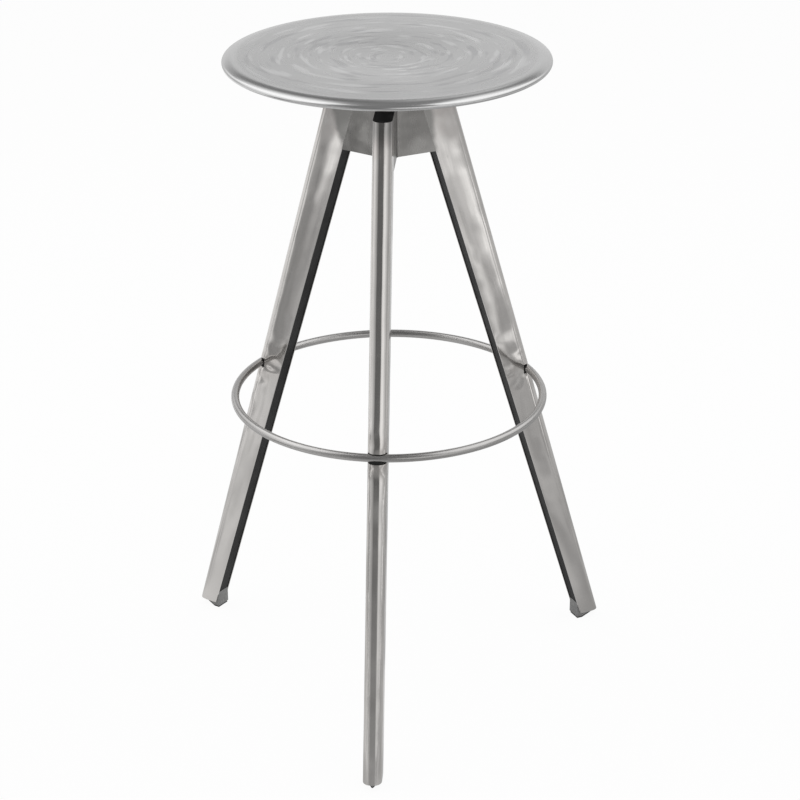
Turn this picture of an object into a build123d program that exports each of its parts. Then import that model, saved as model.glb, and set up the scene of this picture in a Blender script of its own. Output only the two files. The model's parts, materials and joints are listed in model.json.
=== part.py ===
"""Three-legged bar stool with a round turning seat.

Frame: millimetres, +Z up, origin on the floor under the seat's turning axis,
front leg towards -Y.
"""
import os
from math import asin, cos, degrees, hypot, radians, sin

from build123d import *

os.makedirs("parts", exist_ok=True)

# Height of the seat, and its rise above the leg tops
seat_top_z = 748.0
seat_lift = 52.5

# Legs: folded sheet channels, narrow web outwards, open side inwards
leg_sides = ("front", "right", "left")
leg_top_z = seat_top_z - seat_lift
leg_bottom_z = 7.0
web_top_r = 76.7
web_bottom_r = 281.4
flange_top_depth = 42.4
flange_bottom_depth = 26.4
leg_width = 21.0
leg_sheet = 1.2
leg_nose_r = 8.5
blank_depth = 70.0
blank_spare = 40.0

# Dark core bars that fill the channels
core_recess = 1.0
core_nose_r = leg_nose_r - leg_sheet
core_width = leg_width - 2 * leg_sheet

# Feet
plug_depth = 32.3
plug_top_z = 21.0
plug_edge_break = 0.8
toe_straight = 8.0
toe_tip_inset = 2.5
toe_tip_round = 2.0
pad_thickness = 1.8
pad_inset = 0.9
foot_screw_inset = 9.8
foot_screw_d = 4.8
foot_screw_top_z = 40.0
foot_screw_point = 1.0
foot_head_d = 9.0
foot_head_h = 3.2
foot_hole_clearance = 0.1

# Foot ring, let into the webs
ring_z = 351.5
ring_let_in = 4.4
ring_bar_d = 9.0
notch_gap = 1.0

# Hub: three bent panels between the legs, around a bearing tube
panel_sides = ("right", "back", "left")
hub_height = 61.5
hub_bottom_z = leg_top_z - hub_height
hub_bend_r = 5.0
hub_plate_r = 30.0
hub_plate_thickness = 4.0
hub_tube_length = 53.5
hub_tube_bottom_z = leg_top_z - hub_tube_length
hub_tube_bore_d = 18.4

# Swivel spindle and its bushes
spindle_d = 14.0
spindle_tail = 8.5
spindle_bottom_z = hub_tube_bottom_z - spindle_tail
bush_clearance = 0.05
bush_length = 20.0
bush_flange_d = 22.6
bush_flange_thickness = 2.0
washer_d = 22.0
washer_thickness = 1.5
washer_gap = 0.3
clip_d = 19.0
clip_thickness = 1.2
clip_groove_d = 11.8
groove_spare = 1.0
clip_mouth = 8.0
spindle_plate_hole_d = 15.0

# Thrust bearing
race_inner_d = 17.0
race_outer_d = 44.0
race_thickness = 4.0
ball_d = 6.0
ball_count = 12
ball_pitch_r = 15.5
ball_sink = 1.2
ball_gap = 0.3
cage_inner_d = 22.0
cage_outer_d = 40.0
cage_thickness = 2.4

# Swivel plate, seat support dish and their fasteners
swivel_plate_d = 100.0
swivel_plate_thickness = 4.0
dish_sheet = 2.0
dish_floor_r = 52.0
dish_flange_inner_r = 112.0
dish_flange_outer_r = 135.0
dish_hole_r = 12.0
seat_screw_count = 4
seat_screw_pitch_r = 36.0
seat_screw_d = 6.0
seat_head_across = 10.0
seat_head_h = 4.0
seat_screw_spare = 1.5
weld_nut_h = 5.0

# Seat
seat_d = 355.0
seat_sheet = 1.4
dish_depth = 3.0
seat_dish_r = 105.0
rim_shoulder_r = 30.0
rim_shoulder_turn = 25.0
rim_curl_r = 3.25
rim_curl_turn = 240.0


leg_step = 360 / len(leg_sides)
half_step = leg_step / 2
leg_angles = [-90 + leg_step * place for place in range(len(leg_sides))]
edge_top_r = web_top_r - flange_top_depth
edge_bottom_r = web_bottom_r - flange_bottom_depth


def on_line(z, r_top, r_bottom):
    share = (leg_top_z - z) / (leg_top_z - leg_bottom_z)
    return r_top + (r_bottom - r_top) * share


def radial(angle):
    return Vector(cos(radians(angle)), sin(radians(angle)), 0)


def lean(r_top, r_bottom):
    rise = leg_top_z - leg_bottom_z
    length = hypot(r_top - r_bottom, rise)
    return (r_top - r_bottom) / length, rise / length


def section_plane(angle):
    """Plane across the leg, x outwards from the web's outer face, z up the leg."""
    out = radial(angle)
    step_r, step_z = lean(web_top_r, web_bottom_r)
    start_z = leg_bottom_z - blank_spare
    start = out * on_line(start_z, web_top_r, web_bottom_r) + Vector(0, 0, start_z)
    return Plane(
        origin=start,
        x_dir=out * step_z - Vector(0, 0, step_r),
        z_dir=out * step_r + Vector(0, 0, step_z),
    )


def edge_plane(angle, shift=0.0):
    """Plane along the flanges' inner edges, z outwards."""
    out = radial(angle)
    step_r, step_z = lean(edge_top_r, edge_bottom_r)
    normal = out * step_z - Vector(0, 0, step_r)
    point = out * edge_bottom_r + Vector(0, 0, leg_bottom_z)
    return Plane(origin=point + normal * shift, z_dir=normal)


blank_length = hypot(web_top_r - web_bottom_r, leg_top_z - leg_bottom_z) + 2.5 * blank_spare
web_floor_r = on_line(0, web_top_r, web_bottom_r)
ring_r = on_line(ring_z, web_top_r, web_bottom_r) - ring_let_in
plug_inner_r = web_floor_r - plug_depth
foot_screw_r = plug_inner_r + foot_screw_inset
toe_shoulder_r = plug_inner_r + toe_straight
toe_tip_r = web_bottom_r - toe_tip_inset


def make_leg(angle):
    with BuildPart() as leg:
        with BuildSketch(section_plane(angle)):
            with Locations((-blank_depth / 2, 0)):
                RectangleRounded(blank_depth, leg_width, leg_nose_r)
            with Locations((-blank_depth / 2 - leg_sheet, 0)):
                RectangleRounded(blank_depth, core_width, core_nose_r, mode=Mode.SUBTRACT)
        extrude(amount=blank_length)
        split(bisect_by=edge_plane(angle), keep=Keep.TOP)
        split(bisect_by=Plane.XY.offset(leg_top_z), keep=Keep.BOTTOM)
        split(bisect_by=Plane.XY.offset(leg_bottom_z), keep=Keep.TOP)
        with BuildSketch(Plane.XZ):
            with Locations((ring_r - ring_bar_d / 2 - notch_gap, ring_z)):
                Rectangle(3 * ring_bar_d, ring_bar_d + 2 * notch_gap, align=(Align.MIN, Align.CENTER))
        revolve(axis=Axis.Z, mode=Mode.SUBTRACT)
    return leg


def make_core(angle):
    out = radial(angle)
    with BuildPart() as core:
        with BuildSketch(section_plane(angle)):
            with Locations((-blank_depth / 2 - leg_sheet, 0)):
                RectangleRounded(blank_depth, core_width, core_nose_r)
        extrude(amount=blank_length)
        split(bisect_by=edge_plane(angle, core_recess), keep=Keep.TOP)
        split(bisect_by=Plane.XY.offset(leg_top_z), keep=Keep.BOTTOM)
        split(bisect_by=Plane.XY.offset(plug_top_z), keep=Keep.TOP)
        with BuildSketch(Plane.XZ):
            with Locations((ring_r, ring_z)):
                Circle(ring_bar_d / 2)
        revolve(axis=Axis.Z, mode=Mode.SUBTRACT)
        with BuildSketch(Plane(origin=out * foot_screw_r + Vector(0, 0, plug_top_z))):
            Circle(foot_screw_d / 2 + foot_hole_clearance)
        extrude(amount=foot_screw_top_z - plug_top_z + foot_screw_point, mode=Mode.SUBTRACT)
    return core


def toe_corners():
    """Corners of a foot seen from above, x outwards, pointed at the outer end."""
    side = core_width / 2
    return [
        (plug_inner_r, -side),
        (toe_shoulder_r, -side),
        (toe_tip_r, 0),
        (toe_shoulder_r, side),
        (plug_inner_r, side),
    ]


def make_plug(angle):
    out = radial(angle)
    with BuildPart() as plug:
        with BuildSketch(section_plane(angle)):
            with Locations((-blank_depth / 2 - leg_sheet, 0)):
                RectangleRounded(blank_depth, core_width, core_nose_r)
        extrude(amount=blank_length)
        split(bisect_by=Plane.XY.offset(plug_top_z), keep=Keep.BOTTOM)
        split(bisect_by=Plane.XY.offset(leg_bottom_z), keep=Keep.TOP)
        split(bisect_by=Plane(origin=out * plug_inner_r, z_dir=out), keep=Keep.TOP)
        with BuildSketch(Plane(origin=(0, 0, pad_thickness), x_dir=out, z_dir=(0, 0, 1))) as toe:
            with BuildLine():
                Polyline(*toe_corners(), close=True)
            make_face()
            fillet(toe.vertices().sort_by(Axis.X)[-1], toe_tip_round)
        extrude(amount=leg_bottom_z - pad_thickness)
        chamfer(plug.faces().sort_by(Axis.Z)[0].edges(), plug_edge_break)
        with BuildSketch(Plane(origin=out * foot_screw_r + Vector(0, 0, pad_thickness))):
            Circle(foot_head_d / 2 + foot_hole_clearance)
        extrude(amount=foot_head_h, mode=Mode.SUBTRACT)
        with BuildSketch(Plane(origin=out * foot_screw_r + Vector(0, 0, pad_thickness))):
            Circle(foot_screw_d / 2 + foot_hole_clearance)
        extrude(amount=plug_top_z, mode=Mode.SUBTRACT)
    return plug


def make_pad(angle):
    out = radial(angle)
    with BuildPart() as pad:
        with BuildSketch(Plane(origin=(0, 0, 0), x_dir=out, z_dir=(0, 0, 1))) as toe:
            with BuildLine():
                Polyline(*toe_corners(), close=True)
            make_face()
            fillet(toe.vertices().sort_by(Axis.X)[-1], toe_tip_round)
            offset(amount=-pad_inset, mode=Mode.REPLACE)
        extrude(amount=pad_thickness)
    return pad


def make_panel(angle):
    turn = radians(half_step)
    visible = leg_width / 2
    hidden = visible - leg_sheet
    reach = edge_bottom_r / 2

    def corner(side):
        return (side / sin(turn), 0)

    def tip(side, sign):
        x = reach * cos(turn) + side * sin(turn)
        y = reach * sin(turn) - side * cos(turn)
        return (x, sign * y)

    plane = Plane(origin=(0, 0, hub_bottom_z), x_dir=radial(angle), z_dir=(0, 0, 1))
    with BuildPart() as panel:
        with BuildSketch(plane):
            with BuildLine():
                FilletPolyline(tip(visible, 1), corner(visible), tip(visible, -1), radius=hub_bend_r)
                FilletPolyline(
                    tip(hidden, 1), corner(hidden), tip(hidden, -1), radius=hub_bend_r + leg_sheet
                )
                Line(tip(visible, 1), tip(hidden, 1))
                Line(tip(visible, -1), tip(hidden, -1))
            make_face()
        extrude(amount=hub_height)
        split(bisect_by=edge_plane(angle + half_step), keep=Keep.BOTTOM)
        split(bisect_by=edge_plane(angle - half_step), keep=Keep.BOTTOM)
    return panel


for side, angle in zip(leg_sides, leg_angles):
    leg = make_leg(angle)
    leg.part.label = f"leg_{side}"
    export_step(leg.part, f"parts/leg_{side}.step")
    core = make_core(angle)
    core.part.label = f"leg_core_{side}"
    export_step(core.part, f"parts/leg_core_{side}.step")
    plug = make_plug(angle)
    plug.part.label = f"foot_plug_{side}"
    export_step(plug.part, f"parts/foot_plug_{side}.step")
    pad = make_pad(angle)
    pad.part.label = f"foot_pad_{side}"
    export_step(pad.part, f"parts/foot_pad_{side}.step")

for side, angle in zip(panel_sides, leg_angles):
    panel = make_panel(angle + half_step)
    panel.part.label = f"hub_panel_{side}"
    export_step(panel.part, f"parts/hub_panel_{side}.step")

# Screws up through the foot plugs into the cores
with BuildPart() as foot_screws:
    with BuildSketch(Plane.XY.offset(pad_thickness)):
        with PolarLocations(foot_screw_r, len(leg_sides), start_angle=leg_angles[0]):
            Circle(foot_head_d / 2)
    extrude(amount=foot_head_h)
    with BuildSketch(Plane.XY.offset(pad_thickness)):
        with PolarLocations(foot_screw_r, len(leg_sides), start_angle=leg_angles[0]):
            Circle(foot_screw_d / 2)
    extrude(amount=foot_screw_top_z - pad_thickness)
    tips = foot_screws.edges().group_by(Axis.Z)[-1]
    chamfer(tips, foot_screw_point)
foot_screws.part.label = "foot_screws"
export_step(foot_screws.part, "parts/foot_screws.step")

# Round bar bent into a closed ring
with BuildPart() as foot_ring:
    with BuildSketch(Plane.XZ):
        with Locations((ring_r, ring_z)):
            Circle(ring_bar_d / 2)
    revolve(axis=Axis.Z)
foot_ring.part.label = "foot_ring"
export_step(foot_ring.part, "parts/foot_ring.step")

# Bearing tube held between the bends of the three panels
bend_reach = 1 / sin(radians(half_step))
hidden_side = leg_width / 2 - leg_sheet
hub_tube_r = hidden_side * bend_reach + (hub_bend_r + leg_sheet) * (bend_reach - 1)
with BuildPart() as hub_tube:
    with BuildSketch(Plane.XY.offset(hub_tube_bottom_z)):
        Circle(hub_tube_r)
        Circle(hub_tube_bore_d / 2, mode=Mode.SUBTRACT)
    extrude(amount=hub_tube_length)
hub_tube.part.label = "hub_tube"
export_step(hub_tube.part, "parts/hub_tube.step")

# Plate welded over the tube and the panels' top edges
hub_plate_top_z = leg_top_z + hub_plate_thickness
with BuildPart() as hub_plate:
    with BuildSketch(Plane.XY.offset(leg_top_z)):
        Circle(hub_plate_r)
        Circle(spindle_plate_hole_d / 2, mode=Mode.SUBTRACT)
    extrude(amount=hub_plate_thickness)
    chamfer(hub_plate.faces().sort_by(Axis.Z)[-1].outer_wire().edges(), 0.8)
hub_plate.part.label = "hub_plate"
export_step(hub_plate.part, "parts/hub_plate.step")

# Bushes in the tube's two ends
bush_bore_d = spindle_d + 2 * bush_clearance
with BuildPart() as upper_bush:
    with BuildSketch(Plane.XY.offset(leg_top_z - bush_length)):
        Circle(hub_tube_bore_d / 2)
        Circle(bush_bore_d / 2, mode=Mode.SUBTRACT)
    extrude(amount=bush_length)
upper_bush.part.label = "upper_bush"
export_step(upper_bush.part, "parts/upper_bush.step")

with BuildPart() as lower_bush:
    with BuildSketch(Plane.XY.offset(hub_tube_bottom_z - bush_flange_thickness)):
        Circle(bush_flange_d / 2)
    extrude(amount=bush_flange_thickness)
    with BuildSketch(Plane.XY.offset(hub_tube_bottom_z)):
        Circle(hub_tube_bore_d / 2)
    extrude(amount=bush_length)
    with BuildSketch(Plane.XY.offset(hub_tube_bottom_z - bush_flange_thickness)):
        Circle(bush_bore_d / 2)
    extrude(amount=bush_flange_thickness + bush_length, mode=Mode.SUBTRACT)
lower_bush.part.label = "lower_bush"
export_step(lower_bush.part, "parts/lower_bush.step")

# Thrust bearing: two grooved races with caged balls between
lower_race_top_z = hub_plate_top_z + race_thickness
ball_z = lower_race_top_z + ball_d / 2 - ball_sink + ball_gap
upper_race_bottom_z = ball_z + ball_d / 2 - ball_sink + ball_gap
upper_race_top_z = upper_race_bottom_z + race_thickness


def make_race(bottom_z):
    with BuildPart() as race:
        with BuildSketch(Plane.XY.offset(bottom_z)):
            Circle(race_outer_d / 2)
            Circle(race_inner_d / 2, mode=Mode.SUBTRACT)
        extrude(amount=race_thickness)
        with BuildSketch(Plane.XZ):
            with Locations((ball_pitch_r, ball_z)):
                Circle(ball_d / 2 + ball_gap)
        revolve(axis=Axis.Z, mode=Mode.SUBTRACT)
    return race


lower_race = make_race(hub_plate_top_z)
lower_race.part.label = "lower_race"
export_step(lower_race.part, "parts/lower_race.step")

upper_race = make_race(upper_race_bottom_z)
upper_race.part.label = "upper_race"
export_step(upper_race.part, "parts/upper_race.step")

with BuildPart() as bearing_balls:
    with Locations((0, 0, ball_z)):
        with PolarLocations(ball_pitch_r, ball_count):
            Sphere(ball_d / 2)
bearing_balls.part.label = "bearing_balls"
export_step(bearing_balls.part, "parts/bearing_balls.step")

with BuildPart() as ball_cage:
    with BuildSketch(Plane.XY.offset(ball_z - cage_thickness / 2)):
        Circle(cage_outer_d / 2)
        Circle(cage_inner_d / 2, mode=Mode.SUBTRACT)
        with PolarLocations(ball_pitch_r, ball_count):
            Circle(ball_d / 2, mode=Mode.SUBTRACT)
    extrude(amount=cage_thickness)
ball_cage.part.label = "ball_cage"
export_step(ball_cage.part, "parts/ball_cage.step")

# Swivel plate and the spindle welded into it
swivel_top_z = upper_race_top_z + swivel_plate_thickness
with BuildPart() as swivel_plate:
    with BuildSketch(Plane.XY.offset(upper_race_top_z)):
        Circle(swivel_plate_d / 2)
        Circle(spindle_d / 2, mode=Mode.SUBTRACT)
        with PolarLocations(seat_screw_pitch_r, seat_screw_count, start_angle=45):
            Circle(seat_screw_d / 2, mode=Mode.SUBTRACT)
    extrude(amount=swivel_plate_thickness)
    chamfer(swivel_plate.faces().sort_by(Axis.Z)[0].outer_wire().edges(), 1.0)
swivel_plate.part.label = "swivel_plate"
export_step(swivel_plate.part, "parts/swivel_plate.step")

washer_top_z = hub_tube_bottom_z - bush_flange_thickness - washer_gap
clip_top_z = washer_top_z - washer_thickness
with BuildPart() as spindle:
    with BuildSketch(Plane.XY.offset(spindle_bottom_z)):
        Circle(spindle_d / 2)
    extrude(amount=swivel_top_z - spindle_bottom_z)
    chamfer(spindle.faces().sort_by(Axis.Z)[0].edges(), 1.0)
    with BuildSketch(Plane.XY.offset(clip_top_z - clip_thickness)):
        Circle(spindle_d / 2 + groove_spare)
        Circle(clip_groove_d / 2, mode=Mode.SUBTRACT)
    extrude(amount=clip_thickness, mode=Mode.SUBTRACT)
spindle.part.label = "spindle"
export_step(spindle.part, "parts/spindle.step")

with BuildPart() as spindle_washer:
    with BuildSketch(Plane.XY.offset(clip_top_z)):
        Circle(washer_d / 2)
        Circle(spindle_d / 2, mode=Mode.SUBTRACT)
    extrude(amount=washer_thickness)
spindle_washer.part.label = "spindle_washer"
export_step(spindle_washer.part, "parts/spindle_washer.step")

with BuildPart() as spindle_clip:
    with BuildSketch(Plane.XY.offset(clip_top_z - clip_thickness)):
        Circle(clip_d / 2)
        Circle(clip_groove_d / 2, mode=Mode.SUBTRACT)
        with Locations((0, clip_d / 2)):
            Rectangle(clip_mouth, clip_d, mode=Mode.SUBTRACT)
    extrude(amount=clip_thickness)
spindle_clip.part.label = "spindle_clip"
export_step(spindle_clip.part, "parts/spindle_clip.step")

# Pressed dish that carries the seat sheet
seat_under_z = seat_top_z - seat_sheet
with BuildPart() as seat_dish:
    with BuildSketch(Plane.XZ):
        with BuildLine():
            Polyline(
                (dish_hole_r, swivel_top_z),
                (dish_floor_r, swivel_top_z),
                (dish_flange_inner_r, seat_under_z - dish_sheet),
                (dish_flange_outer_r, seat_under_z - dish_sheet),
                (dish_flange_outer_r, seat_under_z),
                (dish_flange_inner_r - dish_sheet / 2, seat_under_z),
                (dish_floor_r - dish_sheet / 2, swivel_top_z + dish_sheet),
                (dish_hole_r, swivel_top_z + dish_sheet),
                close=True,
            )
        make_face()
    revolve(axis=Axis.Z)
    with BuildSketch(Plane.XY.offset(swivel_top_z)):
        with PolarLocations(seat_screw_pitch_r, seat_screw_count, start_angle=45):
            Circle(seat_screw_d / 2)
    extrude(amount=dish_sheet, mode=Mode.SUBTRACT)
seat_dish.part.label = "seat_dish"
export_step(seat_dish.part, "parts/seat_dish.step")

# Screws through plate and dish, into nuts welded inside the dish
nut_bottom_z = swivel_top_z + dish_sheet
with BuildPart() as seat_screws:
    with BuildSketch(Plane.XY.offset(upper_race_top_z - seat_head_h)):
        with PolarLocations(seat_screw_pitch_r, seat_screw_count, start_angle=45):
            RegularPolygon(seat_head_across / 2, 6, major_radius=False)
    extrude(amount=seat_head_h)
    with BuildSketch(Plane.XY.offset(upper_race_top_z)):
        with PolarLocations(seat_screw_pitch_r, seat_screw_count, start_angle=45):
            Circle(seat_screw_d / 2)
    extrude(amount=nut_bottom_z + weld_nut_h + seat_screw_spare - upper_race_top_z)
seat_screws.part.label = "seat_screws"
export_step(seat_screws.part, "parts/seat_screws.step")

with BuildPart() as weld_nuts:
    with BuildSketch(Plane.XY.offset(nut_bottom_z)):
        with PolarLocations(seat_screw_pitch_r, seat_screw_count, start_angle=45):
            RegularPolygon(seat_head_across / 2, 6, major_radius=False)
            Circle(seat_screw_d / 2, mode=Mode.SUBTRACT)
    extrude(amount=weld_nut_h)
weld_nuts.part.label = "weld_nuts"
export_step(weld_nuts.part, "parts/weld_nuts.step")

# Seat: thin dished sheet with its edge turned down and curled under
turn_in = sin(radians(rim_shoulder_turn))
turn_down = cos(radians(rim_shoulder_turn))
rim_step = rim_shoulder_r - rim_curl_r
seat_flat_r = seat_d / 2 - rim_curl_r - rim_step * turn_in
shoulder_centre = (seat_flat_r, seat_top_z - rim_shoulder_r)
curl_centre = (seat_flat_r + rim_step * turn_in, seat_top_z - rim_shoulder_r + rim_step * turn_down)
curl_middle = (rim_shoulder_turn + rim_curl_turn) / 2


def rim_point(centre, radius, turn):
    """Point at a turn from straight up, outwards and down."""
    return (centre[0] + radius * sin(radians(turn)), centre[1] + radius * cos(radians(turn)))


def shoulder_points(inset):
    radius = rim_shoulder_r - inset
    return [rim_point(shoulder_centre, radius, rim_shoulder_turn * share / 2) for share in range(3)]


def curl_points(inset):
    radius = rim_curl_r - inset
    return [rim_point(curl_centre, radius, turn) for turn in (rim_shoulder_turn, curl_middle, rim_curl_turn)]


seat_centre_z = seat_top_z - dish_depth
dish_radius = (seat_dish_r**2 + dish_depth**2) / (2 * dish_depth)
dish_sweep = degrees(asin(seat_dish_r / dish_radius))
with BuildPart() as seat_pan:
    with BuildSketch(Plane.XZ):
        with BuildLine():
            upper = CenterArc((0, seat_centre_z + dish_radius), dish_radius, -90, dish_sweep)
            Line(upper @ 1, shoulder_points(0)[0])
            ThreePointArc(*shoulder_points(0))
            ThreePointArc(*curl_points(0))
            Line(curl_points(0)[-1], curl_points(seat_sheet)[-1])
            ThreePointArc(*reversed(curl_points(seat_sheet)))
            ThreePointArc(*reversed(shoulder_points(seat_sheet)))
            lower_centre = (0, seat_centre_z - seat_sheet + dish_radius)
            lower = CenterArc(lower_centre, dish_radius, -90, dish_sweep)
            Line(shoulder_points(seat_sheet)[0], lower @ 1)
            Line(lower @ 0, upper @ 0)
        make_face()
    revolve(axis=Axis.Z)
seat_pan.part.label = "seat_pan"
export_step(seat_pan.part, "parts/seat_pan.step")
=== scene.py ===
import json
import math

import bmesh
import bpy
from mathutils import Matrix, Vector


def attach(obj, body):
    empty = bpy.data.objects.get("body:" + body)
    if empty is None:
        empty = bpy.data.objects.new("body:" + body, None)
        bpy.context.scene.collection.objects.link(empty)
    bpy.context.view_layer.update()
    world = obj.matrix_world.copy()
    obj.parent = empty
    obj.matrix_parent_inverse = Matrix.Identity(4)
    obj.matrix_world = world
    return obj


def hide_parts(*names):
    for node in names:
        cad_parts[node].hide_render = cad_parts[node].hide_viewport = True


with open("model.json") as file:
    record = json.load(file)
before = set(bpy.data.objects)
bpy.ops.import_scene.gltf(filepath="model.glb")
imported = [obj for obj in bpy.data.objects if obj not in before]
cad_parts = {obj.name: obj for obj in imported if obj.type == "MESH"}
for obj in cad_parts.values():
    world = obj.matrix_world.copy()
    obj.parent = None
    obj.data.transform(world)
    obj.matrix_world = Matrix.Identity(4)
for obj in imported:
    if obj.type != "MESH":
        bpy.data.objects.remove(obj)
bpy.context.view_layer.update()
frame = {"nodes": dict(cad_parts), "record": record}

nodes = frame["nodes"]

# Sizes shared with the part's source, in metres and degrees
leg_sides = {"front": -90, "right": 30, "left": 150}
panel_sides = ("right", "back", "left")
leg_top_z = 0.6955
leg_bottom_z = 0.007
web_top_r = 0.0767
web_bottom_r = 0.2814
flange_top_depth = 0.0424
flange_bottom_depth = 0.0264
leg_width = 0.021
leg_sheet = 0.0012
leg_nose_r = 0.0085
ring_r = 0.174427
ring_z = 0.3515
ring_bar_d = 0.009
seat_d = 0.355
seat_top_z = 0.748
seat_sheet = 0.0014
dish_depth = 0.003
seat_dish_r = 0.105
rim_shoulder_r = 0.030
rim_shoulder_turn = 25
rim_curl_r = 0.00325
rim_curl_turn = 240
ball_d = 0.006
ball_count = 12
ball_pitch_r = 0.0155
ball_z = 0.7056

# How welding bows the flanges: slopes in degrees at shares of the width from the fold,
# the shares and heights at which the sheet is divided for it, and where the bow fades out
bow_slopes = [(0, 12), (0.15, 5), (0.5, 0), (1, -8)]
bow_amounts = {"front": 0.15, "right": 1.0, "left": 1.0}
bow_shares = (0, 0.04, 0.08, 0.12, 0.18, 0.26, 0.36, 0.46, 0.56, 0.66, 0.76, 0.86, 0.94)
bow_heights = [0.62 + 0.01 * step for step in range(8)]
bow_end_z = 0.69
bow_fade = 0.05

# Fineness of the meshes: distances in metres, the normal's z of a level face, creases in degrees, and steps
merge_gap = 1e-6
face_slack = 0.0001
cut_slack = 0.0005
facing_up = 0.99
sheet_crease = 32
seat_crease = 35
seat_turns = 288
seat_rows = 44
ring_steps = 256
bar_steps = 32
ball_segments = 28
ball_rings = 16


def add(tree, kind, feeds=None, **settings):
    """Adds a node, sets its options, and feeds its sockets from links or values."""
    made = tree.nodes.new(kind)
    made.location = (190 * len(tree.nodes), 0)
    for option, value in settings.items():
        setattr(made, option, value)
    for socket, value in (feeds or {}).items():
        if isinstance(value, bpy.types.NodeSocket):
            tree.links.new(value, made.inputs[socket])
        else:
            made.inputs[socket].default_value = value
    return made


def math_step(tree, operation, *values):
    return add(tree, "ShaderNodeMath", dict(enumerate(values)), operation=operation).outputs[0]


def product(tree, first, second):
    return math_step(tree, "MULTIPLY", first, second)


def product_plus(tree, first, second, rest):
    return math_step(tree, "MULTIPLY_ADD", first, second, rest)


def difference(tree, first, second):
    return math_step(tree, "SUBTRACT", first, second)


def size_of(tree, value):
    return math_step(tree, "ABSOLUTE", value)


def spread(tree, value, low, high, to_low=0.0, to_high=1.0):
    """A soft step from to_low to to_high while the value goes from low to high."""
    feeds = {0: value, 1: low, 2: high, 3: to_low, 4: to_high}
    return add(tree, "ShaderNodeMapRange", feeds, interpolation_type="SMOOTHSTEP").outputs[0]


def spread_turn(tree, angle, first, last):
    """A soft step over an angle, with its ends in degrees."""
    return spread(tree, angle, math.radians(first), math.radians(last))


def spread_linear(tree, value, low, high):
    return add(tree, "ShaderNodeMapRange", {0: value, 1: low, 2: high}).outputs[0]


def noise(tree, vector, scale, detail=2.0, roughness=0.5):
    feeds = {"Vector": vector, "Scale": scale, "Detail": detail, "Roughness": roughness}
    return add(tree, "ShaderNodeTexNoise", feeds).outputs[0]


def vector_of(tree, x, y, z):
    return add(tree, "ShaderNodeCombineXYZ", {0: x, 1: y, 2: z}).outputs[0]


def split(tree, vector):
    return add(tree, "ShaderNodeSeparateXYZ", {0: vector}).outputs[:]


def length_of(tree, vector):
    return add(tree, "ShaderNodeVectorMath", {0: vector}, operation="LENGTH").outputs["Value"]


def scaled(tree, vector, factor):
    feeds = {0: vector, "Scale": factor}
    return add(tree, "ShaderNodeVectorMath", feeds, operation="SCALE").outputs[0]


def blend_colour(tree, share, first, second):
    feeds = {0: share, 6: first, 7: second}
    return add(tree, "ShaderNodeMix", feeds, data_type="RGBA").outputs[2]


def grey(tone):
    return (tone, tone, tone, 1)


def new_group(name, inputs, outputs):
    """Starts a shader group with named sockets; inputs are (name, kind, value)."""
    group = bpy.data.node_groups.new(name, "ShaderNodeTree")
    for socket, kind, value in inputs:
        made = group.interface.new_socket(socket, in_out="INPUT", socket_type=kind)
        if value is not None:
            made.default_value = value
    for socket in outputs:
        group.interface.new_socket(socket, in_out="OUTPUT", socket_type="NodeSocketFloat")
    entry = group.nodes.new("NodeGroupInput")
    leave = group.nodes.new("NodeGroupOutput")
    return group, entry.outputs, leave.inputs


def use_group(tree, group, **feeds):
    return add(tree, "ShaderNodeGroup", feeds, node_tree=group).outputs


# Effects shared by several finishes

def make_brushed_grain():
    """Fine lines along the vector's x, as a belt leaves them."""
    group, given, result = new_group(
        "brushed_grain",
        [
            ("Vector", "NodeSocketVector", None),
            ("Fineness", "NodeSocketFloat", 900.0),
            ("Stretch", "NodeSocketFloat", 0.03),
        ],
        ["Lines"],
    )
    fine_share, wide_share = 0.6, 0.4
    squeeze = vector_of(group, given["Stretch"], 1.0, 1.0)
    feeds = {0: given["Vector"], 1: squeeze}
    drawn = add(group, "ShaderNodeVectorMath", feeds, operation="MULTIPLY").outputs[0]
    fine = noise(group, drawn, given["Fineness"], detail=2.0, roughness=0.6)
    wide = noise(group, drawn, product(group, given["Fineness"], 0.2), detail=1.0)
    lines = product_plus(group, fine, fine_share, product(group, wide, wide_share))
    group.links.new(lines, result["Lines"])
    return group


def make_cloudy_haze():
    """Soft patches, and small scuffs across them."""
    group, given, result = new_group(
        "cloudy_haze",
        [("Vector", "NodeSocketVector", None), ("Scale", "NodeSocketFloat", 12.0)],
        ["Haze", "Scuffs"],
    )
    scuff_fineness = 14.0
    cloud = noise(group, given["Vector"], given["Scale"], detail=3.0, roughness=0.55)
    group.links.new(spread(group, cloud, 0.32, 0.68), result["Haze"])
    small = product(group, given["Scale"], scuff_fineness)
    marks = noise(group, given["Vector"], small, detail=4.0, roughness=0.7)
    group.links.new(spread(group, marks, 0.58, 0.74), result["Scuffs"])
    return group


def make_round_the_axis():
    """Distance from the upright axis, and the direction round it."""
    group, given, result = new_group(
        "round_the_axis",
        [("Vector", "NodeSocketVector", None)],
        ["Radius", "Across", "Along"],
    )
    least_r = 0.0001
    x, y = split(group, given["Vector"])[:2]
    radius = length_of(group, vector_of(group, x, y, 0.0))
    safe = math_step(group, "MAXIMUM", radius, least_r)
    group.links.new(radius, result["Radius"])
    group.links.new(math_step(group, "DIVIDE", x, safe), result["Across"])
    group.links.new(math_step(group, "DIVIDE", y, safe), result["Along"])
    return group


def reach_share(group, given):
    """Distance from the group's Height, as a share of its Reach."""
    z = split(group, given["Vector"])[2]
    away = size_of(group, difference(group, z, given["Height"]))
    return math_step(group, "DIVIDE", away, given["Reach"])


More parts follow.
